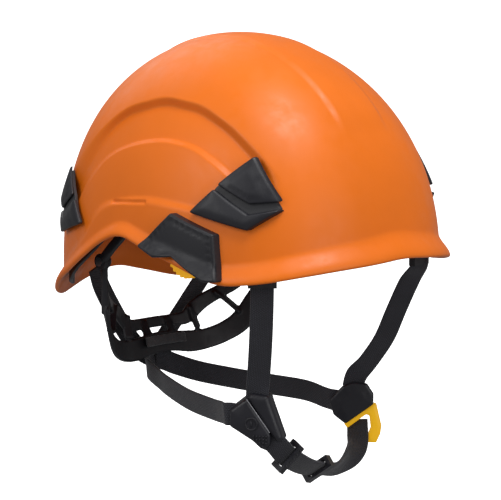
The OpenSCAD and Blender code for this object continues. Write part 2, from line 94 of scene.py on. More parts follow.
# ---------------------------------------------------------------- materials
class Nodes:
    def __init__(self, name):
        self.mat = bpy.data.materials.new(name)
        self.mat.use_nodes = True
        self.tree = self.mat.node_tree
        self.bsdf = self.tree.nodes["Principled BSDF"]

    def add(self, kind, **values):
        n = self.tree.nodes.new(kind)
        for k, v in values.items():
            if hasattr(n, k) and k not in n.inputs:
                setattr(n, k, v)
            else:
                n.inputs[k].default_value = v
        return n

    def link(self, a, b):
        self.tree.links.new(a, b)

    def math(self, op, a, b=None, c=None):
        n = self.add("ShaderNodeMath", operation=op)
        for i, v in enumerate((a, b, c)):
            if v is None:
                continue
            if isinstance(v, (int, float)):
                n.inputs[i].default_value = v
            else:
                self.link(v, n.inputs[i])
        return n.outputs[0]

    def noise(self, scale, detail=3.0, rough=0.5):
        n = self.add("ShaderNodeTexNoise", Scale=scale, Detail=detail, Roughness=rough)
        self.link(self.coord, n.inputs["Vector"])
        return n.outputs["Fac"]

    def span(self, fac, lo, hi, a=0.35, b=0.65):
        n = self.add("ShaderNodeMapRange")
        self.link(fac, n.inputs[0])
        for i, v in enumerate((a, b, lo, hi)):
            n.inputs[i + 1].default_value = v
        return n.outputs[0]

    def mix(self, fac, a, b):
        n = self.add("ShaderNodeMix", data_type="RGBA")
        self.link(fac, n.inputs[0])
        for i, v in ((6, a), (7, b)):
            if isinstance(v, tuple):
                n.inputs[i].default_value = (*v, 1)
            else:
                self.link(v, n.inputs[i])
        return n.outputs[2]

    @property
    def coord(self):
        if not hasattr(self, "_coord"):
            self._coord = self.add("ShaderNodeTexCoord").outputs["Object"]
        return self._coord


def shade(c, k):
    return tuple(min(1.0, v * k) for v in c)


def plastic(name, color, rough, grain=1500, bump=0.12, vary=0.08, wear=0.25, spec=0.5, coat=0.0):
    """Moulded plastic: fine spark-eroded grain, slow colour drift, scuffs in the gloss, paler worn edges."""
    m = Nodes(name)
    drift = m.noise(14, 4)
    base = m.mix(m.span(drift, 0, 1), shade(color, 1 - vary), shade(color, 1 + vary))
    point = m.add("ShaderNodeNewGeometry").outputs["Pointiness"]
    edge = m.math("MULTIPLY", m.span(point, 0, 1, 0.52, 0.6), m.span(m.noise(220, 3), 0, wear, 0.4, 0.62))
    pale = tuple(min(1.0, v * 1.25 + 0.05) for v in color)
    m.link(m.mix(edge, base, pale), m.bsdf.inputs["Base Color"])
    scuff = m.span(m.noise(90, 5, 0.62), rough - 0.06, rough + 0.09)
    m.link(scuff, m.bsdf.inputs["Roughness"])
    m.bsdf.inputs["Specular IOR Level"].default_value = spec
    m.bsdf.inputs["Coat Weight"].default_value = coat
    m.bsdf.inputs["Coat Roughness"].default_value = 0.2
    b = m.add("ShaderNodeBump", Strength=bump, Distance=0.0002)
    m.link(m.noise(grain, 2), b.inputs["Height"])
    m.link(b.outputs[0], m.bsdf.inputs["Normal"])
    return m.mat


def woven(name, color, pitch=1.0, bump=0.9):
    """Webbing: ribs along the length crossed by the weft, from the mesh's length and width coordinates."""
    m = Nodes(name)
    uv = m.add("ShaderNodeUVMap").outputs[0]
    sep = m.add("ShaderNodeSeparateXYZ")
    m.link(uv, sep.inputs[0])
    along = m.math("MULTIPLY", sep.outputs[0], 2 * math.pi * 100 / (1.5 * pitch))
    cross = m.math("MULTIPLY", sep.outputs[1], 2 * math.pi * 100 / (1.1 * pitch))
    half = m.math("MULTIPLY", m.math("SINE", m.math("MULTIPLY", cross, 0.5)), 40)
    phase = m.math("ARCTANGENT", half)
    weft = m.math("SINE", m.math("ADD", along, phase))
    rib = m.math("ABSOLUTE", m.math("SINE", m.math("MULTIPLY", cross, 0.5)))
    height = m.math("MULTIPLY", rib, m.math("MULTIPLY_ADD", weft, 0.35, 0.65))
    # painted shade and light: the colour is darker in the hollows between the threads and lighter on their tops,
    # following the weave height; the noise adds a random tone
    hollow_shade_and_tone = m.math("MULTIPLY", height, m.span(m.noise(60, 4), 0.75, 1.1))
    m.link(m.mix(hollow_shade_and_tone, shade(color, 0.4), shade(color, 2.0)), m.bsdf.inputs["Base Color"])
    m.bsdf.inputs["Roughness"].default_value = 0.72
    m.bsdf.inputs["Sheen Weight"].default_value = 0.25
    m.bsdf.inputs["Sheen Roughness"].default_value = 0.45
    b = m.add("ShaderNodeBump", Strength=bump, Distance=0.00035)
    fuzz = m.math("MULTIPLY_ADD", m.noise(2600, 2), 0.35, height)
    m.link(fuzz, b.inputs["Height"])
    m.link(b.outputs[0], m.bsdf.inputs["Normal"])
    return m.mat


def brushed_cloth(name, color):
    """Comfort pad cover: short nap over a knit, seen as a fine mottled bump with sheen."""
    m = Nodes(name)
    vor = m.add("ShaderNodeTexVoronoi", Scale=900.0)
    m.link(m.coord, vor.inputs["Vector"])
    m.link(m.mix(m.span(m.noise(45, 5), 0, 1), shade(color, 0.75), shade(color, 1.35)),
           m.bsdf.inputs["Base Color"])
    m.bsdf.inputs["Roughness"].default_value = 0.85
    m.bsdf.inputs["Sheen Weight"].default_value = 0.5
    b = m.add("ShaderNodeBump", Strength=0.5, Distance=0.0004)
    m.link(m.math("ADD", vor.outputs["Distance"], m.noise(1600, 2)), b.inputs["Height"])
    m.link(b.outputs[0], m.bsdf.inputs["Normal"])
    return m.mat


ORANGE = plastic("shell_orange", (0.93, 0.19, 0.006), 0.42, grain=1400, bump=0.10, vary=0.04, wear=0.12,
                 spec=0.4)
BLACK = plastic("moulded_black", (0.009, 0.0088, 0.0135), 0.46, grain=1300, bump=0.18, vary=0.15, wear=0.2)
SATIN = plastic("satin_black", (0.013, 0.0128, 0.0185), 0.38, grain=1700, bump=0.1, vary=0.12, wear=0.25)
LINER = plastic("liner_black", (0.03, 0.03, 0.034), 0.55, grain=1100, bump=0.15, vary=0.15, wear=0.1)
YELLOW = plastic("wheel_yellow", (1.0, 0.52, 0.008), 0.36, grain=1500, bump=0.08, vary=0.05, wear=0.15)
LEMON = plastic("buckle_yellow", (1.0, 0.56, 0.01), 0.3, grain=1800, bump=0.06, vary=0.04, wear=0.15)
WEB = woven("webbing_black", (0.022, 0.022, 0.03))
CROWN_WEB = woven("crown_webbing", (0.03, 0.03, 0.036), pitch=1.3)
THREAD = woven("thread_grey", (0.1, 0.1, 0.115), pitch=0.4, bump=0.2)
PAD = brushed_cloth("comfort_pad", (0.032, 0.032, 0.037))
STEEL = plastic("dark_steel", (0.3, 0.3, 0.32), 0.34, grain=900, bump=0.06, vary=0.1, wear=0.1)
STEEL.node_tree.nodes["Principled BSDF"].inputs["Metallic"].default_value = 1.0
for bright in (YELLOW, LEMON):
    # a little emission keeps the yellow bright where it is shaded
    bright.node_tree.nodes["Principled BSDF"].inputs["Emission Color"].default_value = (1.0, 0.5, 0.01, 1)
    bright.node_tree.nodes["Principled BSDF"].inputs["Emission Strength"].default_value = 0.3


# ---------------------------------------------------------------- mesh helpers
def finish_piece(name, verts, faces, mat, body, nodes=(), sharp=38, uv=None):
    """Makes a piece from millimetre points, with outward faces, and puts it on its body."""
    me = bpy.data.meshes.new(name)
    me.from_pydata([tuple(v) for v in np.asarray(verts, float) / 1000], [], faces)
    if uv is not None:
        layer = me.uv_layers.new(name="UVMap")
        idx = np.zeros(len(me.loops), int)
        me.loops.foreach_get("vertex_index", idx)
        layer.data.foreach_set("uv", (np.asarray(uv)[idx] / 100).astype(np.float32).ravel())
    bm = bmesh.new()
    bm.from_mesh(me)
    bmesh.ops.recalc_face_normals(bm, faces=bm.faces)
    bm.to_mesh(me)
    bm.free()
    me.polygons.foreach_set("use_smooth", [True] * len(me.polygons))
    if sharp:
        me.set_sharp_from_angle(angle=math.radians(sharp))
    me.materials.append(mat)
    o = bpy.data.objects.new(name, me)
    scene.collection.objects.link(o)
    if body:
        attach(o, body)
    if nodes:
        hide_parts(*nodes)
    return o


def smooth01(x):
    t = np.clip(x, 0, 1)
    return t * t * (3 - 2 * t)


def catmull(points, step):
    """Points on a smooth curve through the given ones, about step apart, and their fractional index."""
    p = np.asarray(points, float)
    n = len(p)
    out, where = [], []
    for i in range(n - 1):
        a, b, c, d = p[max(i - 1, 0)], p[i], p[i + 1], p[min(i + 2, n - 1)]
        k = max(2, int(np.linalg.norm(c[:3] - b[:3]) / step))
        for t in np.arange(k) / k:
            bend, twist = 2 * a - 5 * b + 4 * c - d, 3 * b - a - 3 * c + d
            out.append(0.5 * (2 * b + (c - a) * t + bend * t**2 + twist * t**3))
            where.append(i + t)
    out.append(p[-1])
    where.append(n - 1)
    return np.array(out), np.array(where)


class Path:
    """A ribbon's centre line with its width direction and face direction at every point."""

    def __init__(self, points, wide, step=1.3):
        self.c, k = catmull(points, step)
        w, _ = catmull(wide, step)
        w = np.array([[np.interp(x, np.arange(len(wide)),
                                 np.asarray(wide, float)[:, j]) for j in range(3)] for x in k])
        t = np.gradient(self.c, axis=0)
        self.t = t / np.linalg.norm(t, axis=1)[:, None]
        w = w - (w * self.t).sum(1)[:, None] * self.t
        self.w = w / np.linalg.norm(w, axis=1)[:, None]
        self.n = np.cross(self.t, self.w)
        self.s = np.concatenate([[0], np.cumsum(np.linalg.norm(np.diff(self.c, axis=0), axis=1))])
        self.k = k

    def at(self, s):
        f = lambda q: np.array([np.interp(s, self.s, q[:, j]) for j in range(3)])
        return f(self.c), f(self.t), f(self.w), f(self.n)


def ribbon_mesh(path, width, thick, round_to=None, crown=0.0):
    """Closed band with rounded edges along a path; width may vary along it."""
    n = len(path.c)
    width = np.interp(path.k, np.arange(len(width)), width) if np.ndim(width) else np.full(n, float(width))
    r = min(round_to or thick / 2, thick / 2)
    arc = np.radians([0, 22.5, 45, 67.5, 90])
    flat = np.linspace(-1, 1, 7)[1:-1]
    ring = []
    for q in (0, 1, 2, 3):
        for a in arc:
            c, s = math.cos(a + q * math.pi / 2), math.sin(a + q * math.pi / 2)
            ring.append((1 if q in (0, 3) else -1, 1 if q in (0, 1) else -1, r * c, r * s))
        if q in (0, 2):
            side = 1 if q == 0 else -1
            for f in flat:
                ring.append((-side * f, side, 0, side * r * 1.0 + side * crown * thick * (1 - f * f) * 0.5))
    m = len(ring)
    verts = np.zeros((n, m, 3))
    uv = np.zeros((n, m, 2))
    for j, (sx, sy, dx, dy) in enumerate(ring):
        x = sx * (width / 2 - r) + dx
        y = sy * (thick / 2 - r) + dy
        verts[:, j] = path.c + path.w * x[:, None] + path.n * np.full(n, y)[:, None]
        uv[:, j, 0] = path.s
        uv[:, j, 1] = x
    faces = []
    for i in range(n - 1):
        for j in range(m):
            k = (j + 1) % m
            faces.append((i * m + j, i * m + k, (i + 1) * m + k, (i + 1) * m + j))
    faces.append(tuple(range(m)))
    faces.append(tuple((n - 1) * m + j for j in range(m)))
    return verts.reshape(-1, 3), faces, uv.reshape(-1, 2)


def ribbon(name, points, wide, width, thick, body, mat, nodes=(), slot=None, **kw):
    path = Path(points, wide)
    v, f, uv = ribbon_mesh(path, width, thick, **kw)
    o = finish_piece(name, v, f, mat, body, nodes, sharp=60, uv=uv)
    return o, path


def join_lists(parts):
    verts, faces, k = [], [], 0
    for v, f in parts:
        verts.append(np.asarray(v, float))
        faces += [tuple(i + k for i in q) for q in f]
        k += len(v)
    return np.concatenate(verts), faces


def bead(at, x, y, z, rx, ry, rz, n=8, rings=5):
    """Small ellipsoid with axes along x, y, z."""
    v, f = [], []
    for i in range(1, rings):
        for j in range(n):
            a, b = math.pi * i / rings, 2 * math.pi * j / n
            ring = y * ry * math.sin(a) * math.cos(b) + z * rz * math.sin(a) * math.sin(b)
            v.append(at + x * rx * math.cos(a) + ring)
    v += [at + x * rx, at - x * rx]
    for i in range(rings - 2):
        for j in range(n):
            k = (j + 1) % n
            f.append((i * n + j, i * n + k, (i + 1) * n + k, (i + 1) * n + j))
    for j in range(n):
        k = (j + 1) % n
        f.append((len(v) - 2, k, j))
        f.append((len(v) - 1, (rings - 2) * n + j, (rings - 2) * n + k))
    return v, f


def stitches(name, path, rows, body, thick, side=1, pitch=3.0):
    """Rows of raised thread on a ribbon: each row is (start, end, offset) along and across it."""
    parts = []
    for s0, s1, off in rows:
        k = max(1, int(abs(s1 - s0) / pitch))
        for i in range(k):
            c, t, w, n = path.at(s0 + (s1 - s0) * (i + 0.5) / k)
            parts.append(bead(c + w * off + n * side * (thick / 2), t, w, n, pitch * 0.36, 0.3, 0.22, n=6,
                              rings=4))
    v, f = join_lists(parts)
    return finish_piece(name, v, f, THREAD, body, sharp=0, uv=np.asarray(v)[:, :2])


# ---- plates: an outline in two coordinates, laid on any surface with a rolled edge
def fillet(poly, r, n=6):
    p = np.asarray(poly, float)
    out = []
    for i in range(len(p)):
        a, b, c = p[i - 1], p[i], p[(i + 1) % len(p)]
        u, v = a - b, c - b
        lu, lv = np.linalg.norm(u), np.linalg.norm(v)
        u, v = u / lu, v / lv
        half = math.acos(np.clip(u @ v, -0.9999, 0.9999)) / 2
        t = min(r / math.tan(half), 0.45 * lu, 0.45 * lv)
        for k in np.linspace(0, 1, n):
            out.append((1 - k) ** 2 * (b + u * t) + 2 * k * (1 - k) * b + k**2 * (b + v * t))
    return np.array(out)


def resample(poly, step):
    out = []
    for i in range(len(poly)):
        a, b = poly[i - 1], poly[i]
        d = np.linalg.norm(b - a)
        if d < 1e-4:
            continue
        k = max(1, int(round(d / step)))
        out += [a + (b - a) * j / k for j in range(k)]
    keep = [out[0]]
    for q in out[1:]:
        if np.linalg.norm(q - keep[-1]) > step * 0.3:
            keep.append(q)
    if np.linalg.norm(keep[0] - keep[-1]) < step * 0.3:
        keep.pop()
    return np.array(keep)


def inside(poly, q):
    x, y = q[:, 0][:, None], q[:, 1][:, None]
    a, b = poly, np.roll(poly, -1, axis=0)
    cross = ((a[:, 1] > y) != (b[:, 1] > y)) & (
        x < (b[:, 0] - a[:, 0]) * (y - a[:, 1]) / (b[:, 1] - a[:, 1] + 1e-12) + a[:, 0])
    return cross.sum(1) % 2 == 1


def edge_distance(loops, q):
    best = np.full(len(q), 1e9)
    for poly in loops:
        a, b = poly, np.roll(poly, -1, axis=0)
        d = b - a
        t = np.clip(((q[:, None] - a) * d).sum(2) / ((d * d).sum(1) + 1e-12), 0, 1)
        best = np.minimum(best, np.linalg.norm(q[:, None] - (a + t[..., None] * d), axis=2).min(1))
    return best


def plate_mesh(outline, place, low, high, bevel=0.9, corner=1.5, grid=1.7, holes=(), relief=None):
    loops = [resample(fillet(outline, corner), 1.0)]
    loops += [resample(fillet(h, corner * 0.8), 0.8) for h in holes]
    free = []
    for i, loop in enumerate(loops):
        t = np.roll(loop, -1, axis=0) - np.roll(loop, 1, axis=0)
        nrm = np.stack([-t[:, 1], t[:, 0]], 1) / (np.linalg.norm(t, axis=1)[:, None] + 1e-9)
        for d in (0.12 * bevel, 0.35 * bevel, 0.7 * bevel, 1.15 * bevel):
            for sign in (1, -1):
                free.append(loop + nrm * d * sign)
    lo, hi = loops[0].min(0), loops[0].max(0)
    gx, gy = np.meshgrid(np.arange(lo[0], hi[0], grid), np.arange(lo[1], hi[1], grid))
    gx = gx + (np.arange(gx.shape[0])[:, None] % 2) * grid / 2
    cells = np.stack([gx.ravel(), gy.ravel()], 1)
    cells = cells[edge_distance(loops, cells) > bevel * 1.6]
    free = np.concatenate(free + [cells])
    ok = inside(loops[0], free)
    for h in loops[1:]:
        ok &= ~inside(h, free)
    free = free[ok]
    free = free[edge_distance(loops, free) > 0.09 * bevel]
    rounded = np.unique(np.round(free / 0.12).astype(int), axis=0, return_index=True)[1]
    free = free[np.sort(rounded)]
    flat = np.concatenate(loops + [free])
    edges, k = [], 0
    for loop in loops:
        m = len(loop)
        edges += [(k + i, k + (i + 1) % m) for i in range(m)]
        k += m
    v2, _, tris = delaunay_2d_cdt([Vector(q) for q in flat], edges, [], 0, 1e-6)[:3]
    v2 = np.array([tuple(q) for q in v2])
    tris = np.array([t for t in tris if len(t) == 3])
    mid = v2[tris].mean(1)
    ok = inside(loops[0], mid)
    for h in loops[1:]:
        ok &= ~inside(h, mid)
    tris = tris[ok]
    d = edge_distance(loops, v2)
    drop = np.where(d < bevel, bevel * (1 - np.sqrt(np.clip(1 - (1 - d / bevel) ** 2, 0, 1))), 0)
    way = 1 if high > low else -1
    top = high - way * drop
    if relief is not None:
        top = top + way * relief(v2[:, 0], v2[:, 1], d)
    n = len(v2)
    verts = np.concatenate([place(v2[:, 0], v2[:, 1], top), place(v2[:, 0], v2[:, 1], np.full(n, low))])
    faces = [tuple(t) for t in tris] + [(t[2] + n, t[1] + n, t[0] + n) for t in tris]
    seen = {}
    for t in tris:
        for a, b in ((t[0], t[1]), (t[1], t[2]), (t[2], t[0])):
            seen[(a, b)] = seen.get((a, b), 0) + 1
    for a, b in seen:
        if (b, a) not in seen:
            faces.append((b, a, a + n, b + n))
    used = sorted({i for f in faces for i in f})
    pos = {v: i for i, v in enumerate(used)}
    return verts[used], [tuple(pos[i] for i in f) for f in faces]


def plate(name, outline, place, low, high, mat, body, nodes=(), slot="trim", **kw):
    v, f = plate_mesh(outline, place, low, high, **kw)
    return finish_piece(name, v, f, mat, body, nodes, sharp=50)


# ---------------------------------------------------------------- shell surface
# The CAD model's formulas, with a rim that is up to 3 mm off the CAD rim
H, HW, HL, PN, CN, WALL, LEAN, BRIM = 157.3, 111.0, 133.0, 2.34, 2.28, 2.6, 7.5, 8.0
RIM_A = [0, 22, 33, 42, 55, 65, 73, 80, 86, 94, 104, 110, 117, 123, 139, 150, 158, 165, 180]
RIM_Z = [17.5, 13, 9.3, 5.4, 2.5, 10.5, 17, 20.5, 25, 30.5, 23.5, 16, 8, 1, -14.5, -25.5, -24, -19.5, -11]


def folded(a):
    b = np.abs(a) % 360
    return np.where(b > 180, 360 - b, b)


def rim(a):
    return sum(np.interp(folded(a + d), RIM_A, RIM_Z) for d in (-4, -2, 0, 2, 4)) / 5


def plan_r(a, off):
    s, c = np.abs(np.sin(np.radians(a))), np.abs(np.cos(np.radians(a)))
    return ((s / (HW + off)) ** PN + (c / (HL + off)) ** PN) ** (-1 / PN)


def crown_k(z, off):
    return np.where(z <= 0, 1.0, np.sqrt(np.clip(1 - np.clip(z / (H + off), 0, 1) ** CN, 0, 1)))


def flare(a, z):
    out = np.interp(folded(a), [0, 35, 60, 85, 125, 145, 160, 180], [BRIM, BRIM - 1, 5, 4, 4.2, 6.6, 6, 4.8])
    up = np.interp(folded(a), [0, 60, 90, 130, 180], [17, 12, 9, 11, 16])
    return out * smooth01((rim(a) + up - z) / up)


def shell_pt(a, z, off):
    r = plan_r(a, off) * crown_k(z, off) + flare(a, z)
    t = np.radians(a)
    return np.stack([-r * np.sin(t), -r * np.cos(t) + LEAN * (np.clip(z, 0, None) / H) ** 2, z], -1)


def on_shell(s):
    """Place function: (y, z, height above the shell) on the right (s -1) or left side."""
    def place(y, z, h):
        y, z, h = np.broadcast_arrays(np.asarray(y, float), np.asarray(z, float), np.asarray(h, float))
        k = crown_k(z, h)
        yy = y - LEAN * (np.clip(z, 0, None) / H) ** 2
        x = (HW + h) * k * np.clip(1 - (np.abs(yy) / ((HL + h) * k)) ** PN, 1e-4, 1) ** (1 / PN)
        a = np.degrees(np.arctan2(x, -yy))
        f = flare(a, z)
        t = np.radians(a)
        return np.stack([s * (x + f * np.sin(t)), y - f * np.cos(t), z], -1)
    return place


# Steps on the sides: (y, z) lines, each from the rear to the front
def line(points):
    p = sorted(points)
    return [q[0] for q in p], [q[1] for q in p]


RIDGE1_OUT = line([(108, 42), (87, 65), (75, 78), (62, 90), (34, 110), (2, 118), (-33, 114), (-62, 100),
                   (-85, 82), (-100, 64)])
RIDGE1_IN = line([(108, 24), (78, 52), (66.5, 68.5), (57.5, 85.5), (37.3, 106), (-1, 114.6), (-32, 109.5),
                  (-57, 98), (-80, 79.5), (-100, 56.5)])
RIDGE2_UP = line([(108, 14), (78, 46), (61, 68), (41, 82), (14, 91), (-11, 94), (-37, 91), (-60, 80),
                  (-72, 72), (-100, 45)])
RIDGE2_LOW = line([(108, 4), (66, 46), (50, 66), (33, 80), (10, 87), (-13, 90), (-39, 86), (-55, 77),
                   (-67, 69), (-100, 38)])
LEDGE_UP = line([(100, 0), (58, 24), (51, 33), (44, 43), (36, 49), (15, 53), (2, 55), (-17, 56), (-48, 52),
                 (-100, 42)])
LEDGE_LOW = line([(100, -10), (50, 20), (42, 33), (34, 42), (16, 48), (-4, 50), (-31, 48), (-49, 46),
                  (-100, 34)])


def relief_of(p):
    x, y, z = np.abs(p[..., 0]), p[..., 1], p[..., 2]
    f = lambda q: sum(np.interp(y + k, q[0], q[1]) for k in (-8, -4, 0, 4, 8)) / 5
    o1, i1, u2, l2, u3, l3 = map(f, (RIDGE1_OUT, RIDGE1_IN, RIDGE2_UP, RIDGE2_LOW, LEDGE_UP, LEDGE_LOW))
    s1 = smooth01((z - i1) / np.maximum(o1 - i1, 3))
    s2 = smooth01((u2 - z) / np.maximum(u2 - l2, 2.5))
    s3 = smooth01((u3 - z) / np.maximum(u3 - l3, 2.5))
    window = smooth01((y + 99) / 16) * smooth01((106 - y) / 22)
    d = (-4.4 * (1 - s1) + 2.6 * s2 + 2.0 * s3) * window
    # shallow slot along the ledge
    slot_z = np.interp(y, [-10, 23], [52, 50.2])
    along = smooth01((24 - y) / 2) * smooth01((y + 11) / 2)
    d = d - 1.1 * smooth01(1.6 - np.abs(z - slot_z + 1.2)) * along * (x > 60)
    crest = smooth01((24 - x) / 6) * smooth01((z - np.where(y < 0, 93, 60)) / 16)
    return d + 1.3 * crest


def shell_rows(off, t, cols):
    a = np.arange(cols) * 360 / cols
    A, T = np.meshgrid(a, t, indexing="ij")
    R = rim(A)
    z = R + (H + off - R) * T
    p = shell_pt(A, z, off)
    da = np.roll(p, -1, axis=0) - np.roll(p, 1, axis=0)
    dt = np.gradient(p, axis=1)
    n = np.cross(dt, da)
    n /= np.linalg.norm(n, axis=2)[..., None] + 1e-12
    return p, n


def build_shell():
    cols, rows, rows_in, lip = 720, 236, 70, 6
    p, n = shell_rows(0, np.sin(np.radians(90 * np.arange(rows) / rows)), cols)
    d = relief_of(p)
    outer = p + n * d[..., None]
    q, m = shell_rows(-WALL, np.sin(np.radians(90 * np.arange(rows_in) / rows_in)), cols)
    inner = q + m * np.minimum(0, relief_of(q) + 1.3)[..., None]
    a, b = outer[:, 0], inner[:, 0]
    mid, half = (a + b) / 2, (a - b) / 2
    ang = np.pi * np.arange(1, lip) / lip
    rim_rows = mid[:, None] + half[:, None] * np.cos(ang)[None, :, None]
    rim_rows[..., 2] -= 1.3 * np.sin(ang)[None]
    # one column: inner from the top down, lip, outer from the bottom up
    col = np.concatenate([inner[:, ::-1], rim_rows[:, ::-1], outer], axis=1)
    k = col.shape[1]
    verts = np.concatenate([col.reshape(-1, 3), [[0, LEAN, H - WALL], [0, LEAN, H + 1.3]]])
    faces = []
    for i in range(cols):
        j = (i + 1) % cols
        faces += [(i * k + r, i * k + r + 1, j * k + r + 1, j * k + r) for r in range(k - 1)]
        faces.append((i * k, j * k, cols * k))
        faces.append((j * k + k - 1, i * k + k - 1, cols * k + 1))
    return finish_piece("shell_visual", verts, faces, ORANGE, "helmet", ["shell"], sharp=0)


build_shell()


# ---------------------------------------------------------------- lamp clips and side covers
def rearward(o):
    return [(5 - y, z - 15) for y, z in o]


FLOOR = [(-82, 80), (-101, 50), (-88, 41), (-54, 48), (-64, 64)]
BASE = [(-104, 51), (-87, 37), (-49, 47), (-63, 62), (-86, 47)]
TAB = [(-82, 83), (-102, 55), (-86, 53.5), (-65, 65)]
COVER = [(-14, 24), (-37, 46), (-69, 34), (-73, 4.8), (-64, 4.5), (-59.5, 7.5), (-41.5, 18.8), (-28, 17.5)]


def border(at, width, depth):
    return lambda u, v, d: -depth * np.clip(1 - np.abs(d - at) / (width / 2), 0, 1)


def tab_relief(u, v, d):
    return 1.1 * smooth01(d / 7) - 0.35 * np.clip(1 - np.abs(d - 3.4) / 0.7, 0, 1)


for name, s in SIDES:
    where = on_shell(s)
    back_off = LEFT_CLIP_BACK if s > 0 else 0.0
    for end, move, thin in (("front", lambda o, k=back_off: [(y + k, z) for y, z in o], 0),
                            ("rear", rearward, 1.0)):
        plate(f"lamp_clip_{end}_{name}_floor", move(FLOOR), where, -0.6, 1.5, LINER, "helmet", bevel=0.5,
              grid=2.4)
        plate(f"lamp_clip_{end}_{name}_base", move(BASE), where, 0.2, 3.9 - thin, BLACK, "helmet",
              [f"lamp_clip_{end}_{name}"], bevel=1.3, corner=1.4, relief=lambda u, v,
              d: 0.9 * smooth01(d / 6))
        plate(f"lamp_clip_{end}_{name}_tab", move(TAB), where, 2.0, 4.1 - 0.6 * thin, BLACK,
              f"lamp_latch_{end}_{name}",
              [f"lamp_tab_{end}_{name}"], bevel=1.2, corner=1.6, relief=tab_relief)
    plate(f"side_cover_{name}_plate", COVER, where, 0.3, 5.9, BLACK, "helmet", [f"side_cover_{name}"],
          bevel=1.5, corner=1.8, relief=border(3.4, 1.5, 0.9))


# ---------------------------------------------------------------- CAD nodes that keep their shape
def dress(node, mat, width=0.35, segments=2):
    o = NODES[node]
    if not o.material_slots:
        o.data.materials.append(mat)
    for m in o.material_slots:
        m.material = mat
    if width:
        b = o.modifiers.new("bevel", "BEVEL")
        b.width = width / 1000
        b.segments = segments
        b.limit_method = "ANGLE"
        b.angle_limit = math.radians(35)
        b.harden_normals = False


for name, s in SIDES:
    dress(f"thumb_wheel_{name}", YELLOW, 0.25)
    dress(f"wheel_axle_{name}", STEEL, 0.3)
    dress(f"wheel_bracket_{name}", LINER, 0.5)
    dress(f"rack_arm_{name}", BLACK, 0.35)
    dress(f"cradle_pin_{name}", STEEL, 0.3)
    dress(f"adjuster_pin_{name}", STEEL, 0.2)
    dress(f"strap_anchor_front_{name}", BLACK, 0.6, 3)
dress("suspension_clips", LINER, 0.6)
dress("crown_patch", CROWN_WEB, 0.4)
dress("chin_slider", SATIN, 0.6, 3)
dress("chin_keeper", SATIN, 0.7, 3)


# ---------------------------------------------------------------- webbing
def same(v, n):
    return [v] * n


ACROSS = (0.695, -0.719, 0)
FRONT = {
    "right": ([(-80, -89, 3), (-79.5, -88, -18), (-76.5, -84, -40), (-71.6, -77.6, -61), (-70.2, -75.3, -70),
               (-70, -75, -80)],
              same(ACROSS, 4) + same((0.5, -0.866, 0), 2)),
    "left": ([(77.5, -87, 3), (77.2, -86.8, -2), (74.8, -80.2, -13), (70.8, -72.4, -33), (66.2, -66, -52),
              (61.2, -56, -69),
              (57.5, -48.5, -79), (56, -46.5, -88)],
             same((0.93, -0.25, 0), 2) + same((0.8, -0.5, 0), 3) + same((0.8, -0.55, 0),
                     1) + same((0.616, -0.788, 0), 2)),
}
UPPER = {
    "right": [(-55, 96, -6), (-48.5, 98, -20), (-34, 100, -41), (-20, 100.8, -60), (-9, 99.5, -71.5),
              (-1, 98.6, -76.2)],
    "left": [(64, 99, -6), (57.5, 100.5, -20), (40, 102.6, -41), (22, 103.3, -60), (9, 102.2, -71.5),
             (1, 101.2, -76.2)],
}
LOWER = {
    "right": [(-0.9, 95, -78.2), (-5, 94.2, -78.6), (-9, 92.2, -79.2), (-15, 86.4, -82), (-24, 66, -85.2),
              (-36, 42.7, -86.7),
              (-50, 8, -89), (-64, -29, -88.4), (-75, -48.5, -86), (-80.2, -56.7, -85.2),
              (-78.5, -59.9, -85), (-75.1, -65.9, -86.5)],
    "left": [(0.9, 95, -78.2), (5, 94.2, -78.7), (9, 92.4, -80), (16, 87.5, -83.6), (26, 72, -88.2),
             (40, 39.6, -92.2),
             (44, 20.6, -92.9), (49, -8, -94), (48.8, -26, -96.5), (47.9, -34.6, -97), (50.4, -39.5, -97.5)],
}
for name, s in SIDES:
    pts, wide = FRONT[name]
    o, path = ribbon(f"front_strap_{name}_web", pts, wide, WEB_W, WEB_T, "helmet", WEB,
                     [f"front_strap_{name}"], "webbing")
    stitches(f"front_strap_{name}_thread", path, [(5, 17, -5.5), (5, 17, 5.5), (17, 17.01, 0)], "helmet",
             WEB_T, side=-1, pitch=2.6)
    pts = UPPER[name]
    o, path = ribbon(f"rear_strap_upper_{name}_web", pts, same((-0.74 * s, 0, 0.67), len(pts)), WEB_W, WEB_T,
                     "helmet", WEB,
                     [f"rear_strap_upper_{name}"], "webbing")
    pts = LOWER[name]
    o, path = ribbon(f"rear_strap_lower_{name}_web", pts, same((0, 0.15, 1), len(pts)), WEB_W, WEB_T,
                     "helmet", WEB,
                     [f"rear_strap_lower_{name}"], "webbing")
    stitches(f"rear_strap_lower_{name}_thread", path, [(26, 62, -5.4), (26, 62, 5.4)], "helmet", WEB_T,
             side=-s, pitch=3.2)

CHIN = [(-66.8, -79.5, -96.6), (-62.7, -85.8, -104.2), (-53.5, -86, -112.6), (-32, -81, -123.5),
        (-12, -75.4, -129.8),
        (6, -70, -133.6), (21, -65.3, -134.8), (37, -61, -132.3), (46, -57.9, -129.3), (52.5, -54.2, -126),
        (57.4, -50, -120.8),
        (59.6, -47.8, -116), (60.4, -46.7, -111)]
CHIN_W = [(0.4, -0.69, 0.6), (0.45, -0.6, 0.66), (0.47, -0.48, 0.74), (0.38, -0.65, 0.65),
          (0.31, -0.75, 0.59),
          (0.25, -0.7, 0.6), (-0.05, -0.38, 0.78), (-0.25, 0.15, 0.65), (-0.37, 0.41, 0.5),
          (-0.5, 0.52, 0.25),
          (-0.55, 0.6, -0.1), (-0.52, 0.62, -0.4), (-0.49, 0.63, -0.6)]
path = Path(CHIN, CHIN_W)
v, f, uv = ribbon_mesh(path, WEB_W, CHIN_T)
chin = finish_piece("chin_strap_web", v, f, WEB, None, (), sharp=60, uv=uv)
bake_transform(chin)
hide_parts("chin_strap_lower", "chin_strap_upper")

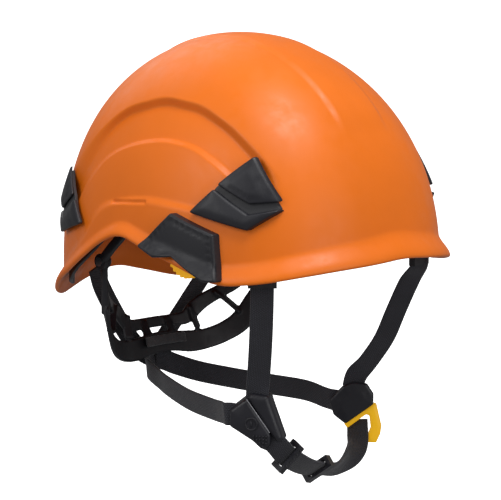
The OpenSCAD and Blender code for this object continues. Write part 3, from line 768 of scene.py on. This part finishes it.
# crown webbing
for i, (node, a) in enumerate((("front", 40), ("middle", 90), ("rear", 140))):
    r = float(plan_r(np.array(a), -14) * crown_k(np.array(62.0), -14))
    top = 112 + 3 * i
    pts = []
    for u in np.linspace(-1, 1, 17):
        x = r * math.sin(math.radians(a)) * u
        y = r * math.cos(math.radians(a)) * u + 3 - 2 * abs(u) ** 2.4
        pts.append((x, y, 56 + (top - 56) * (1 - abs(u) ** 2.4)))
    wide = same((math.cos(math.radians(a)), -math.sin(math.radians(a)), 0), 17)
    ribbon(f"crown_strap_{node}_web", pts, wide, 20, 1.6, "helmet", CROWN_WEB, [f"crown_strap_{node}"],
           "webbing")


# ---------------------------------------------------------------- headband, rear anchors, cradle
def brow_pt(a, r, z):
    t = np.radians(a)
    return (-r * (80 / 106) * math.sin(t), -r * math.cos(t), z)


pts = [brow_pt(8.6 * i, 107, 26) for i in range(-9, 10)]
ribbon("front_headband_band", pts, same((0, 0, 1), 19), 24, 2, "helmet", LINER, ["front_headband"], "trim",
       round_to=0.8)

for name, s in SIDES:
    p = [tuple(shell_pt(np.array(float(a)), rim(float(a)) + 11, -WALL - 2.2)) for a in (104, 110, 116, 122,
            128, 134, 140)]
    p.append(tuple(shell_pt(np.array(147.0), np.array(-8.0), -WALL - 3)))
    p = [(-s * q[0], q[1], q[2]) if s > 0 else tuple(q) for q in p]
    p = [(abs(q[0]) * s, q[1], q[2]) for q in p]
    ribbon(f"strap_anchor_rear_{name}_arm", p, same((0, 0, 1), 8), [9, 13, 15, 16, 16, 17, 18, 18], 2.4,
           "helmet", BLACK,
           [f"strap_anchor_rear_{name}"], "trim", round_to=0.9)


def moulded(name, parts, voxel, mat, body, nodes, rounds=6):
    """Welds overlapping solids into one moulding with soft inside corners."""
    v, f = join_lists(parts)
    me = bpy.data.meshes.new(name)
    me.from_pydata([tuple(q) for q in v / 1000], [], f)
    bm = bmesh.new()
    bm.from_mesh(me)
    bmesh.ops.recalc_face_normals(bm, faces=bm.faces)
    bm.to_mesh(me)
    bm.free()
    o = bpy.data.objects.new(name, me)
    scene.collection.objects.link(o)
    r = o.modifiers.new("remesh", "REMESH")
    r.mode = "VOXEL"
    r.voxel_size = voxel / 1000
    sm = o.modifiers.new("smooth", "SMOOTH")
    sm.factor = 0.5
    sm.iterations = rounds
    deps = bpy.context.evaluated_depsgraph_get()
    final = bpy.data.meshes.new_from_object(o.evaluated_get(deps))
    o.modifiers.clear()
    o.data = final
    final.polygons.foreach_set("use_smooth", [True] * len(final.polygons))
    final.materials.clear()
    final.materials.append(mat)
    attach(o, body)
    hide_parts(*nodes)
    return o


def band_part(points, wide, width, thick, step=1.5):
    v, f, _ = ribbon_mesh(Path(points, wide, step), width, thick, round_to=0.9)
    return v, f


def disc_part(at, axis, r, h, n=40):
    axis = np.asarray(axis, float)
    u = np.cross(axis, (0, 0, 1)) if abs(axis[2]) < 0.9 else np.array((1.0, 0, 0))
    u /= np.linalg.norm(u)
    w = np.cross(axis, u)
    a = np.arange(n) * 2 * math.pi / n
    ring = [np.asarray(at) + r * (u * math.cos(t) + w * math.sin(t)) for t in a]
    v = ring + [q + axis * h for q in ring]
    f = [(i, (i + 1) % n, n + (i + 1) % n, n + i) for i in range(n)] + [tuple(range(n)),
            tuple(range(n, 2 * n))]
    return v, f


def both(points):
    p = [tuple(q) for q in points]
    return [p[i] for i in range(len(p) - 1, 0, -1)] + [(-x, y, z) for x, y, z in p]


LOWER_BAND = [(0, 88, -64.5), (-14, 87.5, -65.5), (-27, 85.5, -67), (-40, 82.5, -66.3), (-53, 76.5, -62),
              (-64, 70, -54),
              (-72, 65.5, -40), (-76, 63, -28)]
LOWER_H = [15, 15, 16, 15, 15, 16, 14, 8]
UPPER_BAND = [(0, 96, -51), (-14, 95.3, -51), (-27, 92, -50.5), (-34, 91, -45.5), (-42, 88.5, -39.5),
              (-52, 83, -33.5),
              (-62, 75.5, -27.5), (-70, 69, -20)]
UPPER_H = [8, 8, 10, 12, 11, 10, 9, 7]
STRUT_F = [(-77.6, 61.5, 1), (-77.3, 62.2, -10), (-76.6, 62.8, -22), (-75, 64, -34)]
STRUT_R = [(-77.6, 62.5, 2), (-74.5, 66, -8), (-69, 70, -18)]
TIES = [[(-32, 91, -42), (-33, 88.5, -50), (-34, 85, -58)],
        [(-50, 84, -32), (-57, 78, -39), (-64, 70.5, -48)],
        [(-12, 95, -49), (-12, 92, -54), (-12, 88, -60)]]
parts = [band_part(both(LOWER_BAND), same((0, 0.3, 1), 15), LOWER_H[:0:-1] + LOWER_H, 3),
         band_part(both(UPPER_BAND), same((0, 0.25, 1), 15), UPPER_H[:0:-1] + UPPER_H, 3)]
for s in (-1, 1):
    m = lambda pts: [(-s * x, y, z) for x, y, z in pts]
    parts.append(band_part(m(STRUT_F), same((0, 1, 0), 4), [5, 5, 5.5, 8], 3))
    parts.append(band_part(m(STRUT_R), same((0, 1, 0.3), 3), [5, 5, 7], 3))
    for t in TIES:
        parts.append(band_part(m(t), same((-s, -0.3, 0), 3), 7, 2.6))
    parts.append(disc_part((s * 79, 61.3, 3.6), (-s, 0, 0), 5.2, 3))
moulded("nape_cradle_moulding", parts, 0.8, BLACK, "cradle", ["nape_cradle"])


# ---------------------------------------------------------------- adjusters and buckle
AT = {"right": (np.array([-70.0, -75, -88]), -60, 1), "left": (np.array([55.5, -46, -98]), 128, -1)}


def on_adjuster(name):
    at, turn, flip = AT[name]
    t = math.radians(turn)
    xd = np.array([math.cos(t), math.sin(t), 0]) * flip
    yd = np.array([-math.sin(t), math.cos(t), 0])

    def place(u, v, h):
        u, v, h = np.broadcast_arrays(np.asarray(u, float), np.asarray(v, float), np.asarray(h, float))
        return at + u[..., None] * xd - h[..., None] * yd + v[..., None] * np.array([0, 0, 1.0])
    return place, xd, -yd


OUTLINE = {
    "right": dict(
        base=[(-7.7, 15.5), (-4.3, 18.9), (8.9, 17.2), (10.3, 12.6), (14.6, 0.7), (18.6, -10.3), (17.5, -12),
              (7.9, -19.5),
              (4.3, -20.3), (-2.5, -14.3), (-18, -4.6), (-18.8, 0), (-18.3, 6.9)],
        ridge=[(-5.8, 15), (-3.6, 18), (8.2, 16.6), (13.9, 0.8), (18, -10.4), (15.2, -13.8), (10.6, -9.4)],
        flap=[(-6.4, 14.4), (-17.2, 6.2), (-17.6, -4.2), (-2.3, -13.2), (4.3, -19), (9.2, -15.6),
              (9.9, -8.9)]),
    "left": dict(
        base=[(-15.6, 1.5), (-6.4, 11.5), (1.7, 14.5), (10.6, 13.5), (15.2, 6.5), (15.2, -1), (-4.3, -15.3),
              (-12.6, -8.8)],
        ridge=[(-4.9, 10.4), (1.8, 13.5), (10.1, 12.5), (14.3, 6.2), (14.3, -0.4), (8.9, -4.6)],
        flap=[(-6.2, 9), (-14.2, 1.2), (-11.6, -7.8), (-4.3, -13.7), (7.4, -5.4)]),
}


def dome(at, x, y, z, r, h, n=14, rings=4):
    v = [np.asarray(at) + z * h]
    for i in range(1, rings + 1):
        a = math.pi / 2 * i / rings
        mid = at + z * h * math.cos(a)
        v += [mid + r * math.sin(a) * (x * math.cos(b) + y * math.sin(b)) for b in np.arange(n) * 2 * math.pi / n]
    v += [q - z * 0.6 for q in v[-n:]]
    f = [(0, 1 + (j + 1) % n, 1 + j) for j in range(n)]
    for i in range(rings):
        k = 1 + i * n
        f += [(k + j, k + (j + 1) % n, k + n + (j + 1) % n, k + n + j) for j in range(n)]
    f.append(tuple(range(len(v) - n, len(v))))
    return v, f


def torus(at, x, y, z, R, r, n=48, m=12):
    v, f = [], []
    for i in range(n):
        a = 2 * math.pi * i / n
        d = x * math.cos(a) + y * math.sin(a)
        v += [at + d * (R + r * math.cos(b)) + z * r * math.sin(b) for b in np.arange(m) * 2 * math.pi / m]
    for i in range(n):
        for j in range(m):
            a, b = (i + 1) % n, (j + 1) % m
            f.append((i * m + j, a * m + j, a * m + b, i * m + b))
    return v, f


UP = np.array([0, 0, 1.0])
for name, s in SIDES:
    place, xd, out = on_adjuster(name)
    o = OUTLINE[name]
    dish = lambda u, v, d: 0.9 * smooth01(d / 7)
    lo, hi = (-4.4, -1.3) if name == "right" else (-1.3, -4.4)
    plate(f"adjuster_base_{name}_plate", o["base"], place, lo, hi, SATIN, "helmet",
          [f"adjuster_base_{name}"], bevel=1.4,
          corner=2.4, relief=lambda u, v,
          d: 0.9 * smooth01(d / 7) - 0.35 * np.clip(1 - np.abs(d - 4.5) / 0.7, 0, 1))
    plate(f"adjuster_base_{name}_ridge", o["ridge"], place, -1.9, 4.5, SATIN, "helmet", bevel=2.6, corner=3.4,
          relief=lambda u, v, d: 0.7 * smooth01(d / 4))
    plate(f"adjuster_flap_{name}_plate", o["flap"], place, 1.5, 4.6, SATIN, f"adjuster_lock_{name}",
          [f"adjuster_flap_{name}"],
          bevel=1.9, corner=3.2, relief=dish)
    k = 1.0 if name == "right" else 0.62
    ring_at = place(-2.6, -1.9, 5.4) if name == "right" else place(-4.6, -2.4, 5.4)
    ring = torus(ring_at, xd, UP, out, 3.8 * k, 0.8)
    bar = bead(ring_at + out * 0.3, UP, xd, out, 2.4 * k, 0.8, 0.8)
    v, f = join_lists([ring, bar])
    finish_piece(f"adjuster_flap_{name}_ring", v, f, BLACK, f"adjuster_lock_{name}", sharp=0)
    grid = np.array([(9.4 - 2.1 * i, -9.6 - 2.1 * j) for i in range(6) for j in range(5)])
    if name == "left":
        grid = np.array([(5.4 - 2.1 * i, -6.4 - 2.1 * j) for i in range(4) for j in range(3)])
    loop = np.array(o["flap"])
    grid = grid[inside(loop, grid)]
    grid = grid[edge_distance([loop], grid) > 1.9]
    dots = [dome(place(u, v, 5.1), xd, UP, out, 0.8, 1.2) for u, v in grid]
    v, f = join_lists(dots)
    finish_piece(f"adjuster_flap_{name}_grip", v, f, BLACK, f"adjuster_lock_{name}", sharp=0)

place, xd, out = on_adjuster("left")
plate("buckle_body_bar", [(9.2, -7.4), (14.2, -3.9), (15.6, -6), (10.6, -9.6)], place, 2.3, 4.4, SATIN,
      "helmet", ["buckle_body"],
      bevel=0.5, corner=0.6, grid=1.0)
plate("buckle_frame_loop", [(-5.8, -14.9), (14.6, -0.6), (17, -0.8), (20.8, -17), (20, -22.5), (17.2, -28.7),
                            (10.6, -28.7),
                            (11.6, -22), (13.2, -17.5), (12.2, -9.4), (9.9, -8.9), (-3.2, -18.9)], place,
                            1.9, -1.0,
      LEMON, "buckle", ["buckle_frame"], slot="buckle", bevel=0.9, corner=1.6, grid=1.0,
      relief=lambda u, v, d: 0.7 * smooth01(d / 2.5))
# ---------------------------------------------------------------- slider and keeper on the chin strap
SLIDER_AT, SLIDER_TURNS = np.array([-52.8, -85.9, -113.1]), (4, 32, 27)
KEEPER_AT, KEEPER_TURNS = np.array([-12, -75.4, -129.8]), (17, 15, 52)


def loop_axes(turn, tip, roll):
    """Axes along the strap, through the loop and across the strap, turned as in the CAD model."""
    (ca, sa), (cb, sb), (cr, sr) = ((math.cos(math.radians(a)), math.sin(math.radians(a))) for a in (turn,
            tip, roll))
    x, y, z = np.array([ca * cb, sa * cb, -sb]), np.array([-sa, ca, 0]), np.array([ca * sb, sa * sb, cb])
    return x, cr * y + sr * z, cr * z - sr * y


def brick(at, x, y, z, a, b, c):
    v = [at + x * i * a + y * j * b + z * k * c for i in (-1, 1) for j in (-1, 1) for k in (-1, 1)]
    return v, [(0, 1, 3, 2), (4, 6, 7, 5), (0, 4, 5, 1), (2, 3, 7, 6), (0, 2, 6, 4), (1, 5, 7, 3)]


def cheeks(name, at, turns, half, body):
    """End blocks that close a loop's opening up to the webbing's edges."""
    x, y, z = loop_axes(*turns)
    v, f = join_lists([brick(at + z * k * 8.5, x, y, z, half[0], half[1], 0.75) for k in (-1, 1)])
    finish_piece(name, v, f, SATIN, body, sharp=30)


cheeks("chin_slider_cheeks", SLIDER_AT, SLIDER_TURNS, (1.7, 3.6), "slider")
cheeks("chin_keeper_cheeks", KEEPER_AT, KEEPER_TURNS, (3.1, 3.0), "keeper")
sx, sy, sz = loop_axes(*SLIDER_TURNS)
# grip dots along the slider's front bar
dots = [dome(SLIDER_AT - sy * 5.0 + sz * (3.3 * i), sx, sz, -sy, 0.8, 0.7) for i in (-2.5, -1.5, -0.5, 0.5,
        1.5, 2.5)]
v, f = join_lists(dots)
finish_piece("chin_slider_dots", v, f, SATIN, "slider", sharp=0)


# ---------------------------------------------------------------- comfort pads, by cloth simulation
def pad(name, points, wide, width, thick, body, nodes, cap, seam):
    v, f, _ = ribbon_mesh(Path(points, wide, 3), width, thick, round_to=thick / 2)
    me = bpy.data.meshes.new(name)
    me.from_pydata([tuple(q) for q in v / 1000], [], f)
    bm = bmesh.new()
    bm.from_mesh(me)
    bmesh.ops.recalc_face_normals(bm, faces=bm.faces)
    bm.to_mesh(me)
    bm.free()
    o = bpy.data.objects.new(name, me)
    scene.collection.objects.link(o)
    r = o.modifiers.new("remesh", "REMESH")
    r.mode = "VOXEL"
    r.voxel_size = 0.0016
    deps = bpy.context.evaluated_depsgraph_get()
    o.data = bpy.data.meshes.new_from_object(o.evaluated_get(deps))
    o.modifiers.clear()
    rest = np.array([tuple(q.co) for q in o.data.vertices])
    c = o.modifiers.new("cloth", "CLOTH")
    c.settings.quality = 5
    c.settings.use_pressure = True
    c.settings.uniform_pressure_force = 4
    c.settings.effector_weights.gravity = 0
    c.settings.mass = 0.2
    c.point_cache.frame_start = 1
    c.point_cache.frame_end = 20
    for k in range(1, 21):
        scene.frame_set(k)
    deps = bpy.context.evaluated_depsgraph_get()
    done = bpy.data.meshes.new_from_object(o.evaluated_get(deps))
    o.modifiers.clear()
    now = np.array([tuple(q.co) for q in done.vertices])
    scene.frame_set(1)
    move = now - rest
    far = np.linalg.norm(move, axis=1)[:, None]
    move *= np.minimum(1, cap / 1000 / np.maximum(far, 1e-9))
    o.data.vertices.foreach_set("co", (rest + move).ravel())
    # sewn channels across the pad, pressed in after the simulation
    path = Path(points, wide, 2)
    co = np.array([tuple(q.co) for q in o.data.vertices]) * 1000
    near = np.array([np.argmin(((path.c - q) ** 2).sum(1)) for q in co])
    s = path.s[near] - path.s[-1] / 2
    off = ((co - path.c[near]) * path.n[near]).sum(1)
    across = ((co - path.c[near]) * path.w[near]).sum(1)
    press = sum(np.exp(-((s - q) / 1.6) ** 2) for q in seam)
    press = press + np.exp(-((np.abs(across) - width / 2 + 3) / 1.1) ** 2)
    co -= path.n[near] * (off * 0.5 * np.clip(press, 0, 1))[:, None]
    o.data.vertices.foreach_set("co", (co / 1000).ravel())
    o.data.polygons.foreach_set("use_smooth", [True] * len(o.data.polygons))
    sub = o.modifiers.new("sub", "SUBSURF")
    sub.levels = sub.render_levels = 1
    o.data.materials.clear()
    o.data.materials.append(PAD)
    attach(o, body)
    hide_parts(*nodes)
    return o


pts = [brow_pt(9 * i, 101.2, 26) for i in range(-6, 7)]
pad("brow_pad_soft", pts, same((0, 0, 1), 13), 26, 3.8, "helmet", ["brow_pad"], 1.0,
    (-72, -48, -24, 0, 24, 48, 72))
pts = [(-20, 82.9, -62.5), (-10, 84.1, -62.2), (0, 84.4, -62), (10, 84.1, -62.2), (20, 82.9, -62.5)]
pad("nape_pad_soft", pts, same((0, 0.3, 1), 5), 8, 1.9, "cradle", ["nape_pad"], 0.5, (-10, 0, 10))


plate("nape_guide_patch", [(-6, -81), (6, -81), (6, -70), (-6, -70)], lambda u, v,
      h: np.stack([u, 103.4 + h, v], -1), 0, 1.5, WEB,
      "helmet", ["nape_guide"], slot="trim", bevel=0.5, corner=1.5)


# ---------------------------------------------------------------- floor
def backdrop():
    prof = [(-3.0, 0.0)] + [(1.6, 0.0)] + [(1.6 + 1.2 * math.sin(t),
                                            1.2 - 1.2 * math.cos(t)) for t in np.linspace(0.1, math.pi / 2,
                                                    16)]
    prof += [(2.8, 4.0)]
    d = np.array([-back[0], -back[1], 0])
    d /= np.linalg.norm(d)
    e = np.array([right[0], right[1], 0])
    v = []
    for y, z in prof:
        for x in (-5, 5):
            v.append(tuple((d * y + e * x) * 1000 + np.array([0, 0, FLOOR_Z + z * 1000])))
    f = [(2 * i, 2 * i + 1, 2 * i + 3, 2 * i + 2) for i in range(len(prof) - 1)]
    m = Nodes("pale_floor")
    m.link(m.mix(m.span(m.noise(3, 2), 0, 1), (0.93, 0.93, 0.93), (0.95, 0.95, 0.95)),
           m.bsdf.inputs["Base Color"])
    m.bsdf.inputs["Roughness"].default_value = 0.9
    m.bsdf.inputs["Emission Color"].default_value = (1, 1, 1, 1)
    m.bsdf.inputs["Emission Strength"].default_value = 0.98
    o = finish_piece("floor", v, f, m.mat, None, sharp=0)
    o.visible_diffuse = False
    o.visible_glossy = False


backdrop()
